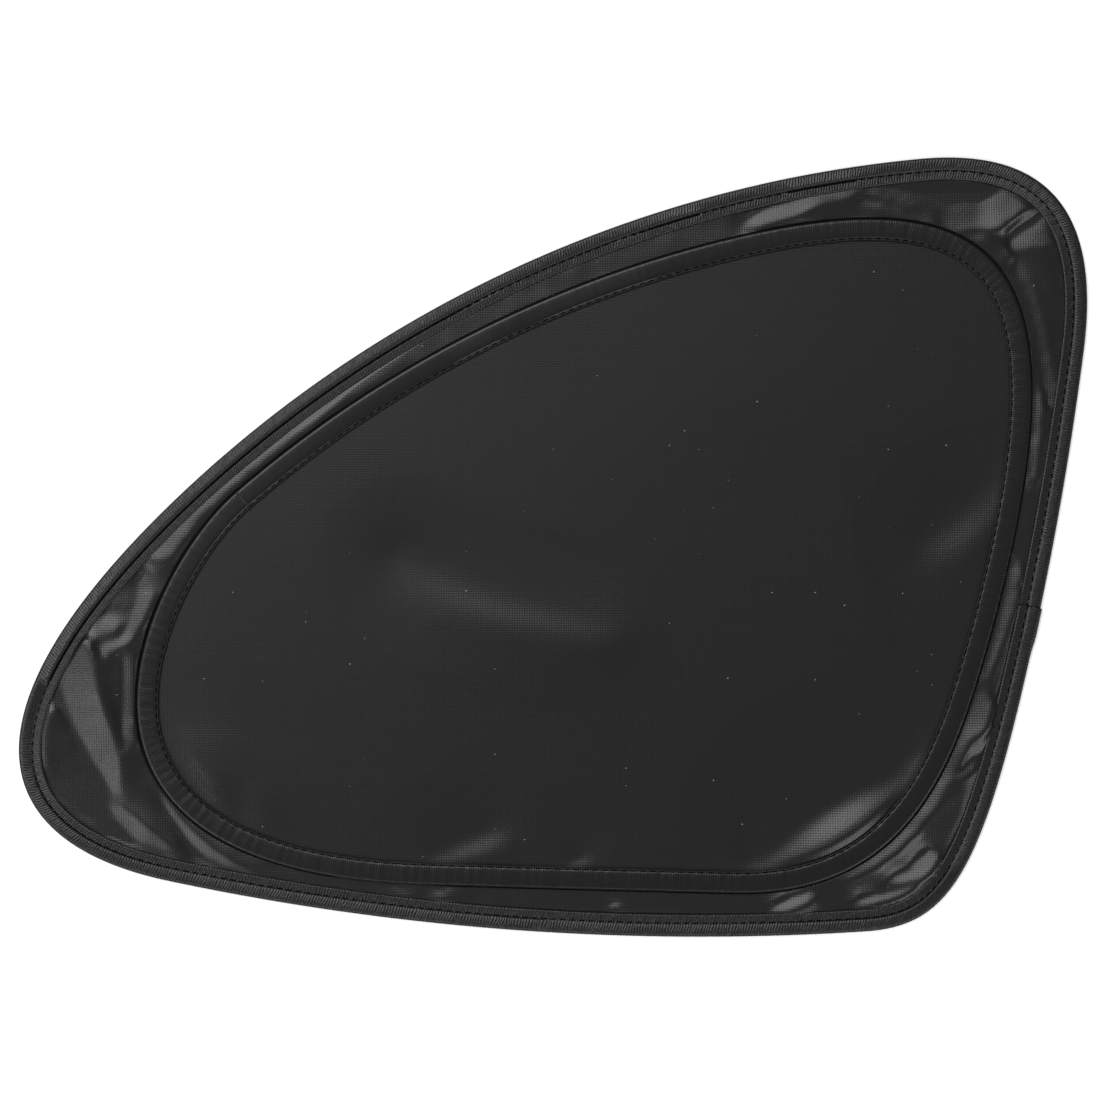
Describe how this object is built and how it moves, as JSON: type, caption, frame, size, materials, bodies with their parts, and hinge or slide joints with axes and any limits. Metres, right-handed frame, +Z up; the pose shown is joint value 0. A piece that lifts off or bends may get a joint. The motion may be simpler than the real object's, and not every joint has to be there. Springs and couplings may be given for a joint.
{
  "type": "car side window sunshade",
  "caption": "Fold-away cloth sunshade for a car side window: rounded triangle with a taped wire edge and an inner wire ring on its face.",
  "frame": {"origin": "middle of the shade's outline on the surface that its back lies on", "axes": "+Z up out of the face, +X towards the short right side, +Y towards the upper corner"},
  "size_m": [0.4588, 0.3348, 0.0044],
  "materials": {
    "cloth": "coated woven polyester with a soft sheen",
    "binding_tape": "ribbed binding tape with a soft sheen",
    "casing_tape": "matte finely ribbed tape",
    "thread": "polyester sewing thread",
    "spring_wire": "drawn spring steel",
    "sleeve_steel": "crimped steel"
  },
  "bodies": {
    "root": {"shade_cloth": "cloth", "edge_binding": "binding_tape", "inner_casing": "casing_tape", "outer_wire": "spring_wire", "inner_wire": "spring_wire", "outer_wire_sleeve": "sleeve_steel", "inner_wire_sleeve": "sleeve_steel", "binding_thread": "thread", "casing_thread": "thread"}
  },
  "joints": []
}
